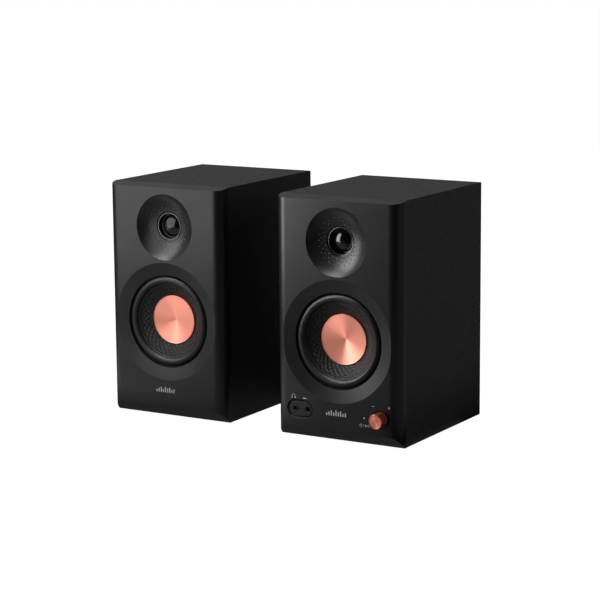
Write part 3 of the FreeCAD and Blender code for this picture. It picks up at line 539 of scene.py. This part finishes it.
# --------------------------------------------------------------------------
# Drivers, one set for each speaker
# --------------------------------------------------------------------------
WARM = []      # pieces that the warm fill reaches
for side in ("right", "left"):
    S = SIDE[side]
    speaker, moving, dome_body = side + "_speaker", side + "_woofer_moving", side + "_tweeter_moving"
    wc = Vector((S["x"], S["y"], S["woofer"]))
    tc = Vector((S["x"], S["y"], S["tweeter"]))

    # dust cap: turned shallow cone with a fine bead round its rim
    prof = line((0, 17.5), (21.7, 13.14), 44) + [(21.9, 13.0), (22.15, 12.92), (22.4, 13.0), (22.58, 13.2), (22.6, 13.5), (22.6, 14.1), (22.5, 14.2), (21.7, 13.95)] \
        + line((21.4, 14.0), (0, 18.3), 6)
    cap = keep(lathe_mesh(side + "_turned_cap", prof, 192), side + "_turned_cap", wc, moving, MATS["copper_turned"].m,
               [side + "_dust_cap"], 30)
    WARM.append(cap)

    # cone: woven facets, straight flank, flat rim under the surround's lip
    prof = line((33.0, 7.2), (13.3, 20.6), 60)[:-1] + [(13.3, 20.6), (13.3, 21.5)] + line((13.6, 21.3), (33.3, 7.9), 8) + [(34.5, 7.9), (34.5, 7.2)]
    keep(lathe_mesh(side + "_woven_cone", prof, 408, True, facets), side + "_woven_cone", wc, moving, MATS["cone_black"].m,
         [side + "_woofer_cone"], 40)

    # row of glue beads where the cone meets the surround
    beads = lathe_mesh(side + "_cone_beads", arc(32.75, 6.75, 0.32, 0, 315, 7), 720, True,
                       lambda a, i, r, v: (32.75 + (r - 32.75) * (0.7 + 0.4 * math.sin(90 * a)), 6.75 + (v - 6.75) * (0.7 + 0.4 * math.sin(90 * a))))
    keep(beads, side + "_cone_beads", wc, moving, MATS["bead_gloss"].m, (), 60)

    # surround: half roll with soft feet; its outer lip stays with the speaker
    prof = [(33.1, 6.5), (33.2, 6.4), (33.65, 6.4), (33.95, 6.36), (34.15, 6.22), (34.28, 5.95)]
    prof += arc(38, 6.4, 3.7, 180 + 12, 360 - 12, 44)
    prof += [(41.72, 5.95), (41.85, 6.22), (42.05, 6.36), (42.4, 6.4), (47, 6.4), (50.5, 6.4), (50.5, 7.2), (47, 7.2), (41.4, 7.2)]
    prof += arc(38, 7.2, 3.0, 360, 180, 30) + [(34.6, 7.2), (33.2, 7.2), (33.1, 7.1)]
    mesh = lathe_mesh(side + "_rubber_surround", prof, 256)
    sr = bpy.data.objects.new(side + "_rubber_surround", mesh)
    sr.location = wc
    bpy.context.scene.collection.objects.link(sr)
    mesh.materials.append(MATS["surround_rubber"].m)
    mesh.shade_smooth()
    mesh.set_sharp_from_angle(angle=math.radians(50))
    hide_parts(side + "_woofer_surround")
    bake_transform(sr, speaker, moving, start=(wc.x + 0.0415, wc.y, wc.z), end=(wc.x + 0.0345, wc.y, wc.z))
    att = sr.data.attributes["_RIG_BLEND"]
    for i, vert in enumerate(sr.data.vertices):
        rad = math.hypot(vert.co.x - wc.x, vert.co.z - wc.z) / MM
        att.data[i].value = 1.0 - ramp01(rad, 34.3, 41.7)

    # spider: its rim stays on the basket's ledge, its neck travels
    wave = [(15.0 + 17.55 * i / 90, 26.25 - 0.65 * math.cos(pi * 9 * i / 90)) for i in range(91)]
    prof = [(13.3, 26.6)] + wave + [(34.2, 26.9), (36.4, 26.9), (36.4, 27.5), (34.0, 27.5)] + [(r, v + 0.6) for r, v in reversed(wave)] + [(13.3, 27.2)]
    mesh = lathe_mesh(side + "_cloth_spider", prof, 96)
    sp = bpy.data.objects.new(side + "_cloth_spider", mesh)
    sp.location = wc
    bpy.context.scene.collection.objects.link(sp)
    mesh.materials.append(MATS["spider_cloth"].m)
    mesh.shade_smooth()
    mesh.set_sharp_from_angle(angle=math.radians(60))
    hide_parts(side + "_spider")
    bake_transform(sp, speaker, moving, start=(wc.x + 0.0335, wc.y, wc.z), end=(wc.x + 0.0150, wc.y, wc.z))
    att = sp.data.attributes["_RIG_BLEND"]
    for i, vert in enumerate(sp.data.vertices):
        rad = math.hypot(vert.co.x - wc.x, vert.co.z - wc.z) / MM
        att.data[i].value = 1.0 - ramp01(rad, 15.0, 33.0)

    # tweeter dome: glossy cap, fine groove, soft rolled edge
    R = (11.0 ** 2 + 5.2 ** 2) / 10.4
    cv = 8.9 + R
    top = math.degrees(math.asin(9.9 / R))
    dome = [(R * math.sin(math.radians(top * i / 40)), cv - R * math.cos(math.radians(top * i / 40))) for i in range(41)]
    vr = dome[-1][1]
    dome += [(10.05, vr + 0.2), (10.18, vr + 0.32), (10.3, vr + 0.28)] + arc(10.75, vr + 0.5, 0.48, 200, 330, 10) + [(11.22, vr + 0.95), (11.25, 14.05), (11.25, 14.4), (10.5, 14.4)]
    dome += [(10.5, 19.0), (10.1, 19.0), (10.1, 14.6)] + [(9.0, vr + 0.9), (6.0, cv - math.sqrt(R * R - 36) + 0.5), (3.0, cv - math.sqrt(R * R - 9) + 0.5), (0, 9.4)]
    keep(lathe_mesh(side + "_gloss_dome", dome, 128), side + "_gloss_dome", tc, dome_body, MATS["dome_gloss"].m,
         [side + "_tweeter_dome"], 40)

    # bright ring round the dome
    prof = rounded([(11.7, 10.4), (11.7, 9.0), (11.95, 8.55), (12.4, 8.5), (12.65, 8.9), (12.75, 10.4)], 0.35, 5)
    keep(lathe_mesh(side + "_bright_ring", prof, 160), side + "_bright_ring", tc, speaker, MATS["trim_chrome"].m,
         [side + "_tweeter_trim_ring"], 40)

    # small concave cups in the dish's dimples
    cups = Build()
    for turn, rad in enumerate((15.8, 18.4, 21.0)):
        surf = -25.43 + math.sqrt(33.99 ** 2 - (rad - 7.74) ** 2)
        slope = (rad - 7.74) / math.sqrt(33.99 ** 2 - (rad - 7.74) ** 2)
        for k in range(24):
            a = math.radians(15 * k + (7.5 if turn == 1 else 0))
            cx, cz = rad * math.cos(a), rad * math.sin(a)
            base = len(cups.v)
            n = 12
            rows = []
            for q, (rr, dd) in enumerate(((0.57, 0.02), (0.50, 0.20), (0.34, 0.38), (0.0, 0.48))):
                if rr == 0:
                    rows.append([len(cups.v)])
                    cups.v.append((cx, surf + dd, cz))
                    continue
                row = []
                for j in range(n):
                    b = 2 * pi * j / n
                    px, pz = cx + rr * math.cos(b), cz + rr * math.sin(b)
                    off = ((px * math.cos(a) + pz * math.sin(a)) - rad) * -slope
                    row.append(len(cups.v))
                    cups.v.append((px, surf + dd + off, pz))
                rows.append(row)
            back = []
            for j in range(n):
                b = 2 * pi * j / n
                back.append(len(cups.v))
                cups.v.append((cx + 0.57 * math.cos(b), surf + 0.66, cz + 0.57 * math.sin(b)))
            for q in range(2):
                for j in range(n):
                    j2 = (j + 1) % n
                    cups.f.append([rows[q][j], rows[q][j2], rows[q + 1][j2], rows[q + 1][j]])
            for j in range(n):
                j2 = (j + 1) % n
                cups.f.append([rows[2][j], rows[2][j2], rows[3][0]])
                cups.f.append([rows[0][j2], rows[0][j], back[j], back[j2]])
            cups.f.append(list(reversed(back)))
    mesh = cups.mesh(side + "_dish_cups")
    keep(mesh, side + "_dish_cups", tc, speaker, MATS["cup_gloss"].m, (), 50)

# --------------------------------------------------------------------------
# Volume knob: knurled, with a chamfered lip and a turned face
# --------------------------------------------------------------------------
klo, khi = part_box("volume_knob")
kc = Vector(((klo.x + khi.x) / 2, SIDE["right"]["y"], (klo.z + khi.z) / 2))
face = line((0, -10.72), (5.35, -10.78), 14) + [(5.6, -10.82), (5.72, -10.96), (5.9, -11.0), (6.05, -11.0), (6.72, -10.36), (6.8, -10.22), (6.8, -9.95), (6.62, -9.8), (6.62, -9.55), (6.75, -9.42)]
n0 = len(face)
flank = line((6.78, -9.3), (6.78, -0.9), 42)
tail = [(6.6, -0.6), (6.45, 0.0), (6.3, 0.2), (5.2, 0.2), (5.2, -7.0), (3.0, -7.0), (3.0, -8.5), (0.0, -8.5)]


def knurl(a, i, r, v):
    if n0 <= i < n0 + len(flank):
        t = (v + 0.9) / 1.3
        h = abs(math.sin(22 * a + pi * t)) * abs(math.sin(22 * a - pi * t))
        return r - 0.34 * (1 - h ** 0.7), v
    return r, v


knob = keep(lathe_mesh("knurled_knob", face + flank + tail, 528, True, knurl), "knurled_knob", kc, "volume_knob_and_shaft",
            MATS["copper_cut"].m, ["volume_knob"], 40)
knob.data.materials.append(MATS["knob_turned"].m)
for p in knob.data.polygons:
    rad = math.hypot(p.center.x, p.center.z) / MM
    if p.center.y / MM < -10.3 and rad < 6.9:
        p.material_index = 1
WARM.append(knob)

# --------------------------------------------------------------------------
# Printed marks on the fronts: thin raised ink
# --------------------------------------------------------------------------
INK0, INK1 = -0.045, 0.03
for side, (bu, bw) in (("right", (-0.7, 26.4)), ("left", (-1.9, 26.2))):
    S = SIDE[side]
    b = Build()
    tall = (2.2, 3.4, 4.6, 3.0, 5.0, 3.8, 4.8, 2.8, 3.6)
    for k, h in enumerate(tall):
        x = bu + (k - 4) * 2.35
        b.bar(x, bw - 2.5 + h / 2, 1.15, h, INK0, INK1, 0, 0.25)
    keep(b.mesh(side + "_front_bars"), side + "_front_bars", Vector((S["x"], S["y"], S["z"])), side + "_speaker", print_ink.m)

b = Build()
b.bar(36.4, 36.8, 2.5, 0.5, INK0, INK1)                       # less
b.bar(51.9, 36.9, 2.3, 0.45, INK0, INK1)                      # more
b.bar(51.9, 36.9 + 0.7, 0.45, 0.92, INK0, INK1)
b.bar(51.9, 36.9 - 0.7, 0.45, 0.92, INK0, INK1)
# power sign
b.arc_band(24.2, 18.6, 0.95, 1.35, 125, 415, INK0, INK1)
b.bar(24.2, 19.75, 0.4, 1.4, INK0, INK1)
# slash
b.bar(27.0, 18.5, 0.35, 3.0, INK0, INK1, -0.45)
# play and pause
b.prism([(28.6, 17.2), (30.5, 18.5), (28.6, 19.8)], INK0, INK1)
b.bar(31.2, 18.5, 0.4, 2.5, INK0, INK1)
b.bar(32.1, 18.5, 0.4, 2.5, INK0, INK1)
# headphones
b.arc_band(-43.7, 37.3, 1.55, 1.95, -5, 185, INK0, INK1)
b.bar(-45.25, 36.5, 0.85, 1.7, INK0, INK1, 0, 0.3)
b.bar(-42.15, 36.5, 0.85, 1.7, INK0, INK1, 0, 0.3)
# plug
b.bar(-32.9, 36.4, 1.5, 1.15, INK0, INK1, 0, 0.3)
b.bar(-31.45, 36.4, 1.2, 0.6, INK0, INK1)
b.bar(-30.4, 36.4, 0.7, 0.4, INK0, INK1)
b.bar(-34.2, 36.4, 1.0, 0.35, INK0, INK1)
S = SIDE["right"]
keep(b.mesh("front_signs"), "front_signs", Vector((S["x"], S["y"], S["z"])), "right_speaker", print_ink.m)

# --------------------------------------------------------------------------
# Small rounds on the CAD pieces that show
# --------------------------------------------------------------------------
for side in ("right", "left"):
    soften(NODES[side + "_cabinet"], 0.00045, 3, 40)
    soften(NODES[side + "_port_tube"], 0.0003, 2, 40)
    soften(NODES[side + "_terminal_housing"], 0.0003, 2, 40)
    soften(NODES[side + "_terminal_lever_red"], 0.00018, 2, 40)
    soften(NODES[side + "_terminal_lever_black"], 0.00018, 2, 40)
    soften(NODES[side + "_feet"], 0.0003, 2, 40)
for name in ("amplifier_plate", "mains_module", "power_rocker", "bass_knob", "treble_knob", "jack_plate"):
    soften(NODES[name], 0.0002, 2, 40)

# --------------------------------------------------------------------------
# Stage, light, view
# --------------------------------------------------------------------------
sc = bpy.context.scene
sc.view_settings.view_transform = "Standard"
sc.view_settings.look = "None"

mesh = bpy.data.meshes.new("floor")
s = 14.0
mesh.from_pydata([(-s, -s, 0), (s, -s, 0), (s, s, 0), (-s, s, 0)], [], [(0, 1, 2, 3)])
floor = bpy.data.objects.new("floor", mesh)
sc.collection.objects.link(floor)
fm = Mat("floor_pale", (0.45, 0.45, 0.45), 1.0, Specular_IOR_Level=0.0, Emission_Color=(1, 1, 1, 1), Emission_Strength=1.0)
mesh.materials.append(fm.m)
floor.visible_glossy = False
floor.visible_diffuse = False

world = bpy.data.worlds.new("studio")
sc.world = world
world.use_nodes = True
world.node_tree.nodes["Background"].inputs["Color"].default_value = (1, 1, 1, 1)
world.node_tree.nodes["Background"].inputs["Strength"].default_value = 1.0
world.cycles_visibility.diffuse = False
world.cycles_visibility.glossy = False
world.cycles_visibility.transmission = False
world.cycles_visibility.scatter = False


def area_light(name, pos, target, size, power, colour=(1, 1, 1), only=None):
    d = bpy.data.lights.new(name, "AREA")
    d.shape = "RECTANGLE"
    d.size, d.size_y = size
    d.energy = power
    d.color = colour
    o = bpy.data.objects.new(name, d)
    sc.collection.objects.link(o)
    o.location = pos
    o.rotation_mode = "QUATERNION"
    o.rotation_quaternion = (Vector(target) - Vector(pos)).to_track_quat("-Z", "Y")
    o.visible_camera = False
    if only is not None:
        o.light_linking.receiver_collection = only
    return o


# each speaker has its own softbox, set the same way in front of it
GROUP = {"right": bpy.data.collections.new("lit_right"), "left": bpy.data.collections.new("lit_left")}
warm = bpy.data.collections.new("lit_warm")
bpy.context.view_layer.update()
for o in list(sc.objects):
    if o.type != "MESH" or o is floor:
        continue
    cx = sum((o.matrix_world @ Vector(c)).x for c in o.bound_box) / 8
    GROUP["right" if cx > 0 else "left"].objects.link(o)
for o in WARM:
    warm.objects.link(o)
open_front = {side: bpy.data.collections.new("lit_open_" + side) for side in ("right", "left")}
for side in ("right", "left"):
    for o in GROUP[side].objects:
        if not o.name.endswith(("_gloss_dome", "_bright_ring")):
            open_front[side].objects.link(o)
behind = bpy.data.collections.new("lit_behind")
for o in list(sc.objects):
    if o.type == "MESH" and o is not floor and not o.name.endswith("_cabinet"):
        if sum((o.matrix_world @ Vector(k)).y for k in o.bound_box) / 8 > 0.055:
            behind.objects.link(o)
shells = bpy.data.collections.new("lit_shells")
for side in ("right", "left"):
    shells.objects.link(NODES[side + "_cabinet"])
LIGHTS = [
    # name, place, aim, size, power, receivers
    ("back", (-1.05, 1.65, 0.68), (0, 0, 0.15), (1.4, 1.15), 2.0, None),
    ("rear", (1.0, 1.4, 0.7), (0, 0, 0.1), (1.0, 0.8), 1.2, None),
    ("rear_soft", (0.9, 1.1, 0.25), (0, 0, 0.1), (1.2, 0.9), 16.0, behind),
    ("side_soft", (1.9, 0.0, 0.25), (0, 0, 0.1), (1.2, 1.0), 1.8, shells),
    ("front_high", (1.2, -1.2, 0.5), (0, 0, 0.1), (1.0, 0.6), 0.5, shells),
    ("rear_high", (-0.3, 1.2, 0.9), (0, 0, 0.1), (0.9, 0.6), 12.0, behind),
    ("fill", (1.6, -0.1, 0.7), (0, 0, 0.1), (1.0, 1.0), 1.8, None),
    ("top", (0.0, 0.0, 1.5), (0, 0, 0.1), (1.2, 1.2), 2.6, None),
    ("low_front", (-1.05, -1.3, 0.002), (-1.05, -1.3, 1.0), (2.3, 2.4), 1.7, None),
    ("low_near", (-0.1, -0.2, 0.002), (-0.1, -0.2, 1.0), (0.52, 0.5), 0.10, None),
    ("low_side", (1.3, 0.8, 0.002), (1.3, 0.8, 1.0), (2.2, 2.6), 2.7, None),
    ("warm_fill", (-1.0, -1.4, -0.1), (0, 0, 0.12), (1.8, 1.2), 8.0, warm),
]
for side, shift, wide, power in (("right", -0.06, 0.235, 1.2), ("left", 0.14, 0.38, 0.60)):
    S = SIDE[side]
    c = Vector((S["x"], S["y"], 0.177))
    LIGHTS.append((side + "_key", c + Vector((-0.265 + shift, -0.222, 0.08)), c, (wide, 0.34), power, GROUP[side]))
    c = Vector((S["x"], S["y"], 0.13))
    LIGHTS.append((side + "_crest", c + Vector((-0.29, -0.25, 0.20)), c, (0.24, 0.24), 0.45, open_front[side]))
    dish = bpy.data.collections.new("lit_dish_" + side)
    for o in GROUP[side].objects:
        if o.name.endswith(("_front_baffle", "_dish_cups", "_rubber_surround")):
            dish.objects.link(o)
    c = Vector((S["x"], S["y"], 0.16))
    LIGHTS.append((side + "_above", c + Vector((-0.27, -0.19, 0.52)), c, (0.32, 0.30), 1.7, dish))
    LIGHTS.append((side + "_lip", c + Vector((-0.08, -0.13, 0.55)), c, (0.22, 0.22), 1.0, dish))
for name, pos, aim, size, power, only in LIGHTS:
    area_light(name, pos, aim, size, power, only=only)

# light coming up from the table on the softbox side, a strip for each speaker
along = Vector((-0.52, -0.854, 0)).normalized()
across = Vector((-along.y, along.x, 0))
for side, offset, width, power in (("right", -0.14, 0.22, 0.66), ("left", -0.085, 0.33, 0.93)):
    S = SIDE[side]
    o = area_light(side + "_table", (0, 0, 0), (0, 0, 1), (width, 1.2), power, only=GROUP[side])
    o.location = Vector((S["x"], S["y"], 0.002)) + along * 0.70 + across * offset
    o.rotation_quaternion = Matrix((across, along, (0, 0, -1))).transposed().to_quaternion()
